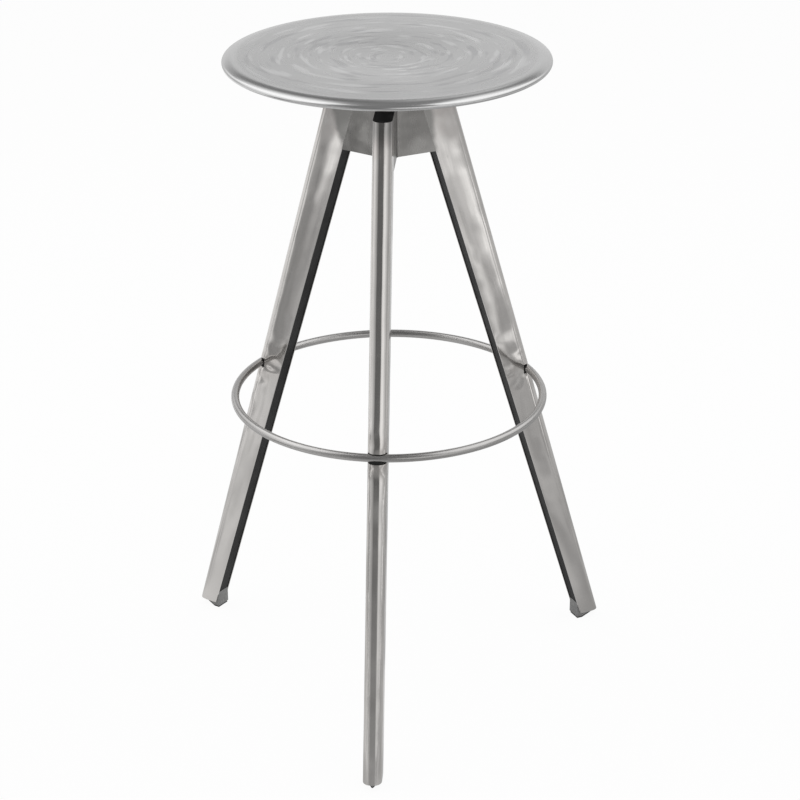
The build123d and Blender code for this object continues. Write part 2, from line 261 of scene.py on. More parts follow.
def make_weld_tint():
    """A broken band of heat colour at one height."""
    group, given, result = new_group(
        "weld_tint",
        [
            ("Vector", "NodeSocketVector", None),
            ("Height", "NodeSocketFloat", 0.35),
            ("Reach", "NodeSocketFloat", 0.02),
        ],
        ["Tint"],
    )
    band = spread(group, reach_share(group, given), 1.0, 0.1)
    broken = spread(group, noise(group, given["Vector"], scale=45.0, detail=3.0), 0.35, 0.65)
    group.links.new(product(group, band, broken), result["Tint"])
    return group


def make_sheet_pull():
    """How welding has drawn a sheet out of flat: long waves, and short ones by the weld."""
    group, given, result = new_group(
        "sheet_pull",
        [
            ("Vector", "NodeSocketVector", None),
            ("Height", "NodeSocketFloat", 0.35),
            ("Reach", "NodeSocketFloat", 0.09),
        ],
        ["Height"],
    )
    far_depth, near_depth, short_depth = 0.3, 0.7, 0.5
    near = spread(group, reach_share(group, given), 1.0, 0.0)
    depth = product_plus(group, near, near_depth, far_depth)
    waves = product(group, noise(group, given["Vector"], scale=22.0, detail=1.0, roughness=0.4), depth)
    close = math_step(group, "POWER", near, 4.0)
    short = product(group, noise(group, given["Vector"], scale=65.0, detail=0.0), close)
    group.links.new(product_plus(group, short, short_depth, waves), result["Height"])
    return group


def make_ground_seam_and_shade():
    """Where the leg tops are ground in with the hub, and where painted shade from the seat darkens them: a
    soft, wandering edge.
    """
    group, given, result = new_group("ground_seam", [("Vector", "NodeSocketVector", None)], ["Ground"])
    seam_r, seam_z, wander_depth = 0.05, 0.637, 0.008
    left_lean, right_lean = 0.28, -0.1
    x, _, z = split(group, given["Vector"])
    radius = use_group(group, round_the_axis, Vector=given["Vector"])["Radius"]
    lean = spread(group, x, -0.02, 0.02, left_lean, right_lean)
    edge = product_plus(group, difference(group, z, seam_z), lean, seam_r)
    wander = noise(group, given["Vector"], scale=60.0, detail=2.0)
    edge = product_plus(group, wander, wander_depth, edge)
    inside = spread(group, difference(group, radius, edge), 0.005, -0.004)
    above = spread(group, z, 0.618, 0.636)
    group.links.new(product(group, inside, above), result["Ground"])
    return group


brushed_grain = make_brushed_grain()
cloudy_haze = make_cloudy_haze()
round_the_axis = make_round_the_axis()
weld_tint = make_weld_tint()
sheet_pull = make_sheet_pull()
ground_seam = make_ground_seam_and_shade()


# Finishes

def new_finish(name, roughness, metallic):
    material = bpy.data.materials.new(name)
    material.use_nodes = True
    tree = material.node_tree
    shader = tree.nodes["Principled BSDF"].inputs
    shader["Roughness"].default_value = roughness
    shader["Metallic"].default_value = metallic
    place = add(tree, "ShaderNodeTexCoord").outputs["Object"]
    return material, tree, shader, place


def raise_surface(tree, shader, height, strength, distance):
    feeds = {"Strength": strength, "Distance": distance, "Height": height}
    tree.links.new(add(tree, "ShaderNodeBump", feeds).outputs[0], shader["Normal"])


def grain_of(tree):
    """The direction along the sheet, kept in the mesh."""
    return add(tree, "ShaderNodeAttribute", attribute_name="grain").outputs["Vector"]


def make_seat_swirl():
    """Sheet ground by hand in broken circles, with its turned edge polished."""
    material, tree, shader, place = new_finish("seat_swirl", roughness=0.28, metallic=1.0)
    arcs_per_metre, lines_per_metre = 120.0, 350.0
    wander_depth, line_depth, edge_polish = 0.012, 0.016, -0.09
    light_arc, dark_arc = grey(0.73), (0.51, 0.51, 0.515, 1)
    polar = use_group(tree, round_the_axis, Vector=place)
    haze = use_group(tree, cloudy_haze, Vector=place, Scale=9.0)
    wander = noise(tree, place, scale=7.0, detail=2.0)
    radius = product_plus(tree, wander, wander_depth, polar["Radius"])
    reach = spread(tree, polar["Radius"], 0.0, 0.07, 0.5, 2.1)
    drift = scaled(tree, vector_of(tree, polar["Across"], polar["Along"], 0.0), reach)
    across, along = split(tree, drift)[:2]
    sweep = vector_of(tree, across, along, product(tree, radius, arcs_per_metre))
    other = add(tree, "ShaderNodeVectorMath", {0: sweep, 1: (7.3, 2.9, 41.0)}).outputs[0]
    finer = vector_of(tree, across, along, product(tree, radius, lines_per_metre))
    fine = noise(tree, finer, scale=1.0, detail=2.0)
    inside = spread(tree, polar["Radius"], 0.17, 0.14)
    light = product(tree, spread(tree, noise(tree, sweep, scale=1.0, detail=1.0), 0.55, 0.69), inside)
    dark = product(tree, spread(tree, noise(tree, other, scale=1.0, detail=1.0), 0.55, 0.69), inside)
    tone = blend_colour(tree, haze["Haze"], grey(0.585), grey(0.625))
    tone = blend_colour(tree, light, tone, light_arc)
    tone = blend_colour(tree, dark, tone, dark_arc)
    tree.links.new(tone, shader["Base Color"])
    ground = spread(tree, fine, 0.3, 0.7, 0.272, 0.288)
    edge = spread(tree, polar["Radius"], 0.158, 0.166)
    tree.links.new(product_plus(tree, edge, edge_polish, ground), shader["Roughness"])
    height = product_plus(tree, fine, line_depth, difference(tree, light, dark))
    raise_surface(tree, shader, height, strength=0.2, distance=0.0002)
    return material


def make_leg_satin():
    """Polished sheet, drawn into waves by the welds and dull where the hub is ground in; painted shade from
    the seat darkens its colour there and at the front leg's top.
    """
    material, tree, shader, place = new_finish("leg_satin", roughness=0.16, metallic=1.0)
    dark_patch, pale_patch = (0.63, 0.612, 0.594, 1), (0.71, 0.69, 0.67, 1)
    ring_heat, top_heat, heat_share = (0.42, 0.38, 0.35, 1), (0.45, 0.38, 0.36, 1), 0.3
    # Painted shade: the legs are darkened towards this grey where they meet the hub under the seat, besides
    # being ground dull there
    ground_and_shade_grey = (0.31, 0.305, 0.295, 1)
    # Painted shade: the top of the front leg is darkened towards this grey as if the seat shaded it
    painted_seat_shade_grey, painted_seat_shade_share = (0.25, 0.245, 0.24, 1), 0.8
    line_depth, scuff_rough, ground_rough = 0.0005, 0.06, 0.1
    lines = use_group(tree, brushed_grain, Vector=grain_of(tree), Fineness=1100.0, Stretch=0.02)["Lines"]
    haze = use_group(tree, cloudy_haze, Vector=place, Scale=11.0)
    ring_tint = use_group(tree, weld_tint, Vector=place, Height=ring_z, Reach=0.035)["Tint"]
    top_tint = use_group(tree, weld_tint, Vector=place, Height=leg_top_z, Reach=0.07)["Tint"]
    pulled = use_group(tree, sheet_pull, Vector=place, Height=ring_z, Reach=0.09)["Height"]
    dull = use_group(tree, ground_seam, Vector=place)["Ground"]
    x, _, z = split(tree, place)
    # Painted shade of the seat over the top few centimetres of the front leg
    front_leg = spread(tree, size_of(tree, x), 0.02, 0.012)
    painted_seat_shade = product(tree, front_leg, spread(tree, z, leg_top_z - 0.032, leg_top_z - 0.008))
    tone = blend_colour(tree, haze["Haze"], dark_patch, pale_patch)
    tone = blend_colour(tree, product(tree, ring_tint, heat_share), tone, ring_heat)
    tone = blend_colour(tree, product(tree, top_tint, heat_share), tone, top_heat)
    # Painted shade: the ground-in zone by the hub takes a darker grey that stands in for the seat's shade
    tone = blend_colour(tree, dull, tone, ground_and_shade_grey)
    tone = blend_colour(tree, product(tree, painted_seat_shade, painted_seat_shade_share), tone, painted_seat_shade_grey)
    tree.links.new(tone, shader["Base Color"])
    rough = spread(tree, lines, 0.3, 0.7, 0.11, 0.17)
    rough = product_plus(tree, haze["Scuffs"], scuff_rough, rough)
    tree.links.new(product_plus(tree, dull, ground_rough, rough), shader["Roughness"])
    height = product_plus(tree, lines, line_depth, pulled)
    raise_surface(tree, shader, height, strength=1.0, distance=0.004)
    return material


def make_hub_shaded_satin():
    """Sheet ground by hand: dull, with darker and lighter patches, all kept dark as painted shade from the
    seat above.
    """
    material, tree, shader, place = new_finish("hub_satin", roughness=0.28, metallic=1.0)
    # Painted shade: these greys are kept far below the legs' so that the hub looks shaded by the seat
    dark_patch, pale_patch = (0.25, 0.244, 0.236, 1), (0.37, 0.362, 0.35, 1)
    scuff_tone, scuff_share = (0.45, 0.44, 0.43, 1), 0.4
    weld_z, line_depth = 0.66, 0.0003
    lines = use_group(tree, brushed_grain, Vector=grain_of(tree), Fineness=700.0, Stretch=0.05)["Lines"]
    haze = use_group(tree, cloudy_haze, Vector=place, Scale=24.0)
    pulled = use_group(tree, sheet_pull, Vector=place, Height=weld_z, Reach=0.08)["Height"]
    tone = blend_colour(tree, haze["Haze"], dark_patch, pale_patch)
    tone = blend_colour(tree, product(tree, haze["Scuffs"], scuff_share), tone, scuff_tone)
    tree.links.new(tone, shader["Base Color"])
    tree.links.new(spread(tree, lines, 0.3, 0.7, 0.26, 0.3), shader["Roughness"])
    height = product_plus(tree, lines, line_depth, pulled)
    raise_surface(tree, shader, height, strength=1.0, distance=0.003)
    return material


def rings_round(tree, place, stretch, fineness, detail):
    """Fine lines that run round the upright axis."""
    polar = use_group(tree, round_the_axis, Vector=place)
    level = math_step(tree, "ADD", split(tree, place)[2], polar["Radius"])
    across = product(tree, polar["Across"], stretch)
    along = product(tree, polar["Along"], stretch)
    return noise(tree, vector_of(tree, across, along, level), fineness, detail)


def make_ring_polish():
    """Bent bar, polished along its length."""
    material, tree, shader, place = new_finish("ring_polish", roughness=0.22, metallic=1.0)
    dark_patch, pale_patch = (0.43, 0.422, 0.414, 1), (0.5, 0.492, 0.484, 1)
    lines = rings_round(tree, place, stretch=0.01, fineness=500.0, detail=1.0)
    haze = use_group(tree, cloudy_haze, Vector=place, Scale=14.0)
    tree.links.new(blend_colour(tree, haze["Haze"], dark_patch, pale_patch), shader["Base Color"])
    tree.links.new(spread(tree, lines, 0.3, 0.7, 0.25, 0.29), shader["Roughness"])
    raise_surface(tree, shader, lines, strength=0.05, distance=0.00003)
    return material


def make_turned_steel(name, pale, dull, low, high):
    """Plain steel turned in a lathe: fine rings round the axis."""
    material, tree, shader, place = new_finish(name, roughness=low, metallic=1.0)
    rings = rings_round(tree, place, stretch=0.002, fineness=1400.0, detail=2.0)
    haze = use_group(tree, cloudy_haze, Vector=place, Scale=40.0)
    tree.links.new(blend_colour(tree, haze["Haze"], pale, dull), shader["Base Color"])
    tree.links.new(spread(tree, rings, 0.3, 0.7, low, high), shader["Roughness"])
    raise_surface(tree, shader, rings, strength=0.1, distance=0.0001)
    return material


def make_moulded(name, pale, dull, rough, grit, specular=0.5):
    """Moulded plastic or rubber: fine grit and slightly uneven colour."""
    material, tree, shader, place = new_finish(name, roughness=rough, metallic=0.0)
    shader["Specular IOR Level"].default_value = specular
    rough_change = 0.08
    haze = use_group(tree, cloudy_haze, Vector=place, Scale=30.0)
    grains = noise(tree, place, scale=grit, detail=3.0, roughness=0.6)
    tree.links.new(blend_colour(tree, haze["Haze"], dull, pale), shader["Base Color"])
    uneven = spread(tree, grains, 0.3, 0.7, rough - rough_change, rough + rough_change)
    tree.links.new(uneven, shader["Roughness"])
    raise_surface(tree, shader, grains, strength=0.2, distance=0.0002)
    return material


seat_swirl = make_seat_swirl()
leg_satin = make_leg_satin()
hub_satin = make_hub_shaded_satin()
ring_polish = make_ring_polish()
inner_steel = make_turned_steel("inner_steel", grey(0.52), grey(0.43), low=0.32, high=0.46)
bearing_steel = make_turned_steel("bearing_steel", grey(0.66), grey(0.6), low=0.12, high=0.2)
core_black = make_moulded("core_black", grey(0.026), grey(0.012), rough=0.55, grit=900.0, specular=0.2)
foot_grey = make_moulded("foot_grey", (0.30, 0.30, 0.295, 1), (0.22, 0.22, 0.218, 1), rough=0.5, grit=1200.0)
pad_dark = make_moulded("pad_dark", grey(0.05), grey(0.025), rough=0.75, grit=1500.0)
bush_white = make_moulded("bush_white", (0.75, 0.74, 0.7, 1), (0.66, 0.65, 0.6, 1), rough=0.4, grit=1300.0)
slot_finishes = {
    "inner_steel": inner_steel,
    "bearing_steel": bearing_steel,
    "core_black": core_black,
    "foot_grey": foot_grey,
    "pad_dark": pad_dark,
    "bush_white": bush_white,
}


# Pieces

def keep(name, mesh, body, slot, *stands_for):
    piece = bpy.data.objects.new(name, mesh)
    bpy.context.scene.collection.objects.link(piece)
    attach(piece, body)
    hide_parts(*stands_for)


def smooth(mesh, crease):
    for face in mesh.polygons:
        face.use_smooth = True
    mesh.set_sharp_from_angle(angle=math.radians(crease))


def leg_directions(angle):
    """Level directions out from the axis along a leg, and across it."""
    out = Vector((math.cos(math.radians(angle)), math.sin(math.radians(angle)), 0))
    return out, Vector((-out.y, out.x, 0))


def leg_frame(angle):
    """Turns a point into (along the leg, across it, out from the axis)."""
    out, side = leg_directions(angle)
    rise = (out * (web_top_r - web_bottom_r) + Vector((0, 0, leg_top_z - leg_bottom_z))).normalized()
    return Matrix((rise, side, side.cross(rise)))


def bow_height(share):
    """Height of a flange's bow per unit of its width, from its slopes at a few shares of the width."""
    height = 0.0
    for (first, steep), (second, gentle) in zip(bow_slopes, bow_slopes[1:]):
        span = min(share, second) - first
        if span > 0:
            change = (gentle - steep) / (second - first)
            height += math.radians(steep * span + change * span * span / 2)
    return height


def bow_flanges(shape, angle, amount):
    """Bows a leg's flanges outwards between the fold and the inner edge."""
    out, side = leg_directions(angle)
    up = Vector((0, 0, 1))

    def across(share, z):
        level = (z - leg_bottom_z) / (leg_top_z - leg_bottom_z)
        web_r = web_bottom_r + (web_top_r - web_bottom_r) * level
        depth = flange_bottom_depth + (flange_top_depth - flange_bottom_depth) * level
        return web_r - leg_nose_r - share * (depth - leg_nose_r)

    def slice_by(point, normal):
        every = shape.verts[:] + shape.edges[:] + shape.faces[:]
        bmesh.ops.bisect_plane(shape, geom=every, dist=merge_gap, plane_co=point, plane_no=normal)

    for z in bow_heights:
        slice_by(up * z, up)
    for share in bow_shares:
        high = out * across(share, leg_top_z) + up * leg_top_z
        low = out * across(share, leg_bottom_z) + up * leg_bottom_z
        slice_by(high, (high - low).cross(side))
    for vertex in shape.verts:
        radius, offset = vertex.co.dot(out), vertex.co.dot(side)
        start, end = across(0, vertex.co.z), across(1, vertex.co.z)
        share = (start - radius) / (start - end)
        if 0 < share < 1 and abs(offset) > leg_width / 2 - leg_sheet - face_slack:
            fade = min(1, max(0, (bow_end_z - vertex.co.z) / bow_fade))
            lift = fade * amount * (start - end) * (bow_height(share) - share * bow_height(1))
            vertex.co += side * math.copysign(lift, offset)


def finished_sheet(node, material, turn, reshape=None):
    """A merged copy of a sheet piece with smooth folds and its grain direction."""
    mesh = nodes[node].data.copy()
    mesh.name = node + "_sheet"
    shape = bmesh.new()
    shape.from_mesh(mesh)
    bmesh.ops.remove_doubles(shape, verts=shape.verts, dist=merge_gap)
    if reshape:
        reshape(shape)
    shape.to_mesh(mesh)
    shape.free()
    grain = mesh.attributes.new("grain", "FLOAT_VECTOR", "POINT")
    for vertex in mesh.vertices:
        grain.data[vertex.index].vector = turn @ vertex.co
    mesh.materials.clear()
    mesh.materials.append(material)
    smooth(mesh, sheet_crease)
    return mesh


def make_legs():
    """Folded channels, with the black of their filling over the cut top."""
    for side, angle in leg_sides.items():
        node = "leg_" + side
        mesh = finished_sheet(
            node, leg_satin, leg_frame(angle),
            reshape=lambda shape: bow_flanges(shape, angle, bow_amounts[side]),
        )
        mesh.materials.append(core_black)
        for face in mesh.polygons:
            cut_top = face.normal.z > facing_up and face.center.z > leg_top_z - cut_slack
            face.material_index = 1 if cut_top else 0
        keep("leg_skin_" + side, mesh, "base", "leg_steel", node)


def make_hub():
    upright = Matrix(((0, 0, 1), (1, 0, 0), (0, 1, 0)))
    for side in panel_sides:
        node = "hub_panel_" + side
        mesh = finished_sheet(node, hub_satin, upright)
        keep("hub_skin_" + side, mesh, "base", "hub_steel", node)


def seat_profile():
    """Section of the seat from its centre over the turned-down edge and back underneath."""
    step_r = rim_shoulder_r - rim_curl_r
    lean = math.radians(rim_shoulder_turn)
    flat_r = seat_d / 2 - rim_curl_r - step_r * math.sin(lean)
    shoulder = (flat_r, seat_top_z - rim_shoulder_r)
    curl = (flat_r + step_r * math.sin(lean), seat_top_z - rim_shoulder_r + step_r * math.cos(lean))

    def dished(r):
        share = min(r / seat_dish_r, 1.0)
        return seat_top_z - dish_depth * (1 - share * share) ** 2

    def arc(centre, radius, first, last, steps):
        turns = [math.radians(first + (last - first) * step / steps) for step in range(steps + 1)]
        return [(centre[0] + radius * math.sin(a), centre[1] + radius * math.cos(a)) for a in turns]

    top = [(flat_r * step / seat_rows, dished(flat_r * step / seat_rows)) for step in range(seat_rows)]
    over = arc(shoulder, rim_shoulder_r, 0, rim_shoulder_turn, steps=16)
    over += arc(curl, rim_curl_r, rim_shoulder_turn, rim_curl_turn, steps=40)[1:]
    back = arc(curl, rim_curl_r - seat_sheet, rim_curl_turn, rim_shoulder_turn, steps=28)
    back += arc(shoulder, rim_shoulder_r - seat_sheet, rim_shoulder_turn, 0, steps=12)[1:]
    under = [(r, z - seat_sheet) for r, z in reversed(top)]
    return top + over + back + under


def make_seat():
    """The seat's section turned round the axis, closed at both centres."""
    shape = bmesh.new()
    rows = []
    for r, z in seat_profile():
        if r < merge_gap:
            rows.append([shape.verts.new((0, 0, z))])
            continue
        ring = []
        for step in range(seat_turns):
            angle = 2 * math.pi * step / seat_turns
            ring.append(shape.verts.new((r * math.cos(angle), r * math.sin(angle), z)))
        rows.append(ring)
    for first, second in zip(rows, rows[1:]):
        for step in range(seat_turns):
            after = (step + 1) % seat_turns
            corners = [
                first[step % len(first)],
                second[step % len(second)],
                second[after % len(second)],
                first[after % len(first)],
            ]
            shape.faces.new(list(dict.fromkeys(corners)))
    bmesh.ops.recalc_face_normals(shape, faces=shape.faces)
    mesh = bpy.data.meshes.new("seat_sheet")
    shape.to_mesh(mesh)
    shape.free()
    mesh.materials.append(seat_swirl)
    smooth(mesh, seat_crease)
    keep("seat_sheet", mesh, "seat", "seat_steel", "seat_pan")


def new_tree(name, inputs):
    """Starts a geometry tree; inputs are (name, kind, value)."""
    tree = bpy.data.node_groups.new(name, "GeometryNodeTree")
    tree.interface.new_socket("Geometry", in_out="INPUT", socket_type="NodeSocketGeometry")
    for socket, kind, value in inputs:
        made = tree.interface.new_socket(socket, in_out="INPUT", socket_type=kind)
        if value is not None:
            made.default_value = value
    tree.interface.new_socket("Geometry", in_out="OUTPUT", socket_type="NodeSocketGeometry")
    entry = tree.nodes.new("NodeGroupInput")
    leave = tree.nodes.new("NodeGroupOutput")
    return tree, entry.outputs, leave.inputs


def lifted(tree, shape, height):
    """Raises a shape to a height in a geometry tree."""
    lift = vector_of(tree, 0.0, 0.0, height)
    return add(tree, "GeometryNodeTransform", {0: shape, "Translation": lift}).outputs[0]


def finish_tree(tree, shape, finish, leave):
    """Ends a geometry tree with a plain smooth mesh in its finish."""
    real = add(tree, "GeometryNodeRealizeInstances", {0: shape}).outputs[0]
    shaded = add(tree, "GeometryNodeSetShadeSmooth", {0: real}).outputs[0]
    painted = add(tree, "GeometryNodeSetMaterial", {0: shaded, "Material": finish}).outputs[0]
    tree.links.new(painted, leave[0])


def grow(name, tree, **values):
    """Runs a geometry tree with these inputs and returns its result as a plain mesh."""
    carrier = bpy.data.objects.new(name + "_carrier", bpy.data.meshes.new(name + "_carrier"))
    bpy.context.scene.collection.objects.link(carrier)
    modifier = carrier.modifiers.new(name, "NODES")
    modifier.node_group = tree
    for item in tree.interface.items_tree:
        key = item.name.replace(" ", "_")
        if item.in_out == "INPUT" and key in values:
            modifier[item.identifier] = values[key]
    ready = carrier.evaluated_get(bpy.context.evaluated_depsgraph_get())
    mesh = bpy.data.meshes.new_from_object(ready)
    mesh.name = name
    carrier.modifiers.clear()
    bpy.data.objects.remove(carrier)
    return mesh


def make_ring():
    tree, given, leave = new_tree(
        "bent_bar",
        [
            ("Ring Radius", "NodeSocketFloat", 0.2),
            ("Bar Radius", "NodeSocketFloat", 0.005),
            ("Height", "NodeSocketFloat", 0.0),
            ("Finish", "NodeSocketMaterial", None),
        ],
    )
    sizes = {"Resolution": ring_steps, "Radius": given["Ring Radius"]}
    path = add(tree, "GeometryNodeCurvePrimitiveCircle", sizes).outputs[0]
    sizes = {"Resolution": bar_steps, "Radius": given["Bar Radius"]}
    bar = add(tree, "GeometryNodeCurvePrimitiveCircle", sizes).outputs[0]
    swept = add(tree, "GeometryNodeCurveToMesh", {0: path, "Profile Curve": bar}).outputs[0]
    finish_tree(tree, lifted(tree, swept, given["Height"]), given["Finish"], leave)
    mesh = grow(
        "ring_bar", tree, Ring_Radius=ring_r, Bar_Radius=ring_bar_d / 2, Height=ring_z, Finish=ring_polish
    )
    keep("ring_bar", mesh, "base", "ring_steel", "foot_ring")


def make_balls():
    tree, given, leave = new_tree(
        "ball_row",
        [
            ("Pitch Radius", "NodeSocketFloat", 0.015),
            ("Ball Radius", "NodeSocketFloat", 0.003),
            ("Count", "NodeSocketInt", 12),
            ("Height", "NodeSocketFloat", 0.0),
            ("Finish", "NodeSocketMaterial", None),
        ],
    )
    sizes = {"Vertices": given["Count"], "Radius": given["Pitch Radius"]}
    places = add(tree, "GeometryNodeMeshCircle", sizes).outputs[0]
    sizes = {"Segments": ball_segments, "Rings": ball_rings, "Radius": given["Ball Radius"]}
    ball = add(tree, "GeometryNodeMeshUVSphere", sizes).outputs[0]
    row = add(tree, "GeometryNodeInstanceOnPoints", {"Points": places, "Instance": ball}).outputs[0]
    finish_tree(tree, lifted(tree, row, given["Height"]), given["Finish"], leave)
    mesh = grow(
        "ball_row", tree, Pitch_Radius=ball_pitch_r, Ball_Radius=ball_d / 2, Count=ball_count,
        Height=ball_z, Finish=bearing_steel,
    )
    keep("ball_row", mesh, "bearing_cage", "bearing_steel", "bearing_balls")


def finish_carried_nodes():
    """Gives the nodes that stay as they are the finish of their slot."""
    for row in frame["record"]["subparts"]:
        finish = slot_finishes.get(row["material_slot"])
        if finish is None:
            continue
        mesh = nodes[row["node"]].data
        mesh.materials.clear()
        mesh.materials.append(finish)


make_legs()
make_hub()
make_seat()
make_ring()
make_balls()
finish_carried_nodes()


# Floor, light and camera

# The room that the steel mirrors, in metres, with tones where 1 is white
room_r = 3.4
room_h = 2.6
wall_steps = 96
floor_sheet_z = 0.0004
floor_reach = 14.0

# The ceiling's tones go by the distance behind a slanting edge: the range of that distance,
# the slope of the edge, and where it meets the middle on each side
band_start, band_end = -1.5, 2.0
band_slant = -1.33
left_band_y, right_band_y = 1.1, 1.45


def by_distance(*stops):
    return [(distance / room_r, tone) for distance, tone in stops]


def across_band(*stops):
    return [((behind - band_start) / (band_end - band_start), tone) for behind, tone in stops]


# Walls by the share of a turn from straight behind, ceiling by its bands, floor by distance
wall_stops = [
    (0.0, 0.8), (0.14, 0.75), (0.17, 0.6), (0.22, 0.95), (0.28, 1.15), (0.33, 0.85),
    (0.38, 0.58), (0.43, 0.4), (0.45, 0.15), (0.505, 0.15), (0.535, 1.0), (0.6, 1.1),
    (0.66, 0.8), (0.73, 0.5), (0.8, 0.45), (0.86, 0.6), (1.0, 0.8),
]
left_ceiling_stops = across_band(
    (-1.5, 1.55), (-1.1, 1.5), (-0.83, 1.0), (-0.6, 0.7), (-0.4, 0.5), (-0.1, 0.2),
    (0.6, 0.22), (1.3, 0.36), (2.0, 0.4),
)
right_ceiling_stops = across_band(
    (-1.5, 1.45), (-0.95, 1.2), (-0.75, 0.85), (-0.55, 0.6), (-0.25, 0.28), (0.0, 0.24),
    (0.25, 0.5), (0.6, 0.68), (1.0, 0.78), (1.5, 0.8), (2.0, 0.8),
)
left_outer_stops = by_distance(
    (0.0, 0.66), (0.35, 0.65), (0.65, 0.68), (0.84, 0.8), (0.92, 0.45), (1.1, 0.34),
    (1.65, 0.31), (1.8, 0.28), (2.0, 0.3), (2.15, 0.45), (3.4, 0.35),
)
left_inner_stops = by_distance(
    (0.0, 0.7), (0.65, 0.72), (0.78, 0.85), (0.9, 0.55), (1.1, 0.45), (1.5, 0.46),
    (1.62, 0.65), (1.72, 1.2), (1.95, 1.3), (2.1, 0.7), (2.4, 0.5), (3.4, 0.35),
)
right_outer_stops = by_distance(
    (0.0, 0.5), (0.6, 0.48), (0.85, 0.48), (0.95, 0.45), (1.08, 0.46), (1.2, 0.42), (1.42, 0.42),
    (1.58, 0.6), (1.72, 1.35), (2.05, 1.35), (2.2, 0.8), (2.4, 0.55), (3.4, 0.35),
)
right_inner_stops = by_distance(
    (0.0, 0.5), (0.6, 0.48), (0.8, 0.42), (0.92, 0.45), (1.02, 0.75), (1.15, 0.9), (1.25, 0.65),
    (1.38, 0.55), (1.5, 0.75), (1.62, 0.92), (2.0, 1.0), (2.1, 0.7), (2.4, 0.5), (3.4, 0.35),
)


def level_square(reach, z):
    return [(-reach, -reach, z), (reach, -reach, z), (reach, reach, z), (-reach, reach, z)]


def seen_directly(tree):
    """1 for rays that should meet the plain white background."""
    path = add(tree, "ShaderNodeLightPath").outputs
    first = math_step(tree, "MAXIMUM", path["Is Camera Ray"], path["Is Glossy Ray"])
    return math_step(tree, "MAXIMUM", first, path["Is Transmission Ray"])


def stage_sheet(name, corners, faces):
    """A sheet of the studio and the empty tree of its material."""
    mesh = bpy.data.meshes.new(name)
    mesh.from_pydata(corners, [], faces)
    sheet = bpy.data.objects.new(name, mesh)
    bpy.context.scene.collection.objects.link(sheet)
    material = bpy.data.materials.new(name)
    material.use_nodes = True
    material.node_tree.nodes.clear()
    mesh.materials.append(material)
    return sheet, material.node_tree


def make_floor():
    """Pale matt floor: white where it is seen directly, with the stool's faint shadow, clear from below."""
    floor, tree = stage_sheet("floor", level_square(floor_reach, 0), [(0, 1, 2, 3)])
    white_share = 0.95
    matt = add(tree, "ShaderNodeBsdfDiffuse", {"Color": grey(0.86)}).outputs[0]
    glow = add(tree, "ShaderNodeEmission", {"Color": grey(1), "Strength": 1.0}).outputs[0]
    share = product(tree, seen_directly(tree), white_share)
    both = add(tree, "ShaderNodeMixShader", {0: share, 1: matt, 2: glow}).outputs[0]
    below = add(tree, "ShaderNodeNewGeometry").outputs["Backfacing"]
    clear = add(tree, "ShaderNodeBsdfTransparent").outputs[0]
    either = add(tree, "ShaderNodeMixShader", {0: below, 1: both, 2: clear}).outputs[0]
    add(tree, "ShaderNodeOutputMaterial", {0: either})


def make_world():
    world = bpy.data.worlds.new("studio")
    bpy.context.scene.world = world
    world.use_nodes = True
    tree = world.node_tree
    fill_strength, white_strength = 0.55, 1.0
    background = tree.nodes["Background"].inputs
    background["Color"].default_value = grey(1)
    strength = spread(tree, seen_directly(tree), 0.0, 1.0, fill_strength, white_strength)
    tree.links.new(strength, background["Strength"])


def glow_sheet(name, corners, faces, tone_of):
    """A sheet of the studio that only reflections see."""
    sheet, tree = stage_sheet(name, corners, faces)
    place = add(tree, "ShaderNodeTexCoord").outputs["Object"]
    glow = add(tree, "ShaderNodeEmission", {"Color": tone_of(tree, place), "Strength": 1.0}).outputs[0]
    add(tree, "ShaderNodeOutputMaterial", {0: glow})
    sheet.visible_camera = False
    sheet.visible_diffuse = False
    sheet.visible_transmission = False
    sheet.visible_shadow = False


def ramp_colour(tree, value, stops):
    made = add(tree, "ShaderNodeValToRGB", {0: value})
    ramp = made.color_ramp
    ramp.interpolation = "EASE"
    while len(ramp.elements) < len(stops):
        ramp.elements.new(1.0)
    for element, (at, tone) in zip(ramp.elements, stops):
        element.position = at
        element.color = grey(tone)
    return made.outputs[0]


def wall_tone(tree, place):
    """Uprights of light and dark round the room, fading at the foot and changing high up."""
    x, y, z = split(tree, place)
    angle = math_step(tree, "ARCTAN2", x, product(tree, y, -1.0))
    tone = ramp_colour(tree, spread_linear(tree, angle, -math.pi, math.pi), wall_stops)
    tone = blend_colour(tree, spread(tree, z, 0.1, 0.9, 0.5, 0.0), tone, grey(0.45))
    turned = size_of(tree, angle)
    beside = spread_turn(tree, turned, 45, 65)
    back = spread_turn(tree, turned, 130, 155)

    front = difference(tree, 1.0, beside)
    tone = blend_colour(tree, product(tree, spread(tree, z, 1.6, 1.9), front), tone, grey(0.33))

    side = product(tree, beside, difference(tree, 1.0, back))
    tone = blend_colour(tree, product(tree, spread(tree, z, 1.2, 1.6), side), tone, grey(1.2))

    strip_angle = math.radians(156)
    strip = spread_turn(tree, size_of(tree, math_step(tree, "ADD", angle, strip_angle)), 9, 4)
    tone = blend_colour(tree, product(tree, strip, spread(tree, z, 1.5, 2.1)), tone, grey(0.5))

    top_tone = blend_colour(tree, spread(tree, x, -0.3, 0.3), grey(0.22), grey(0.4))
    return blend_colour(tree, product(tree, spread(tree, z, 2.1, 2.5), back), tone, top_tone)


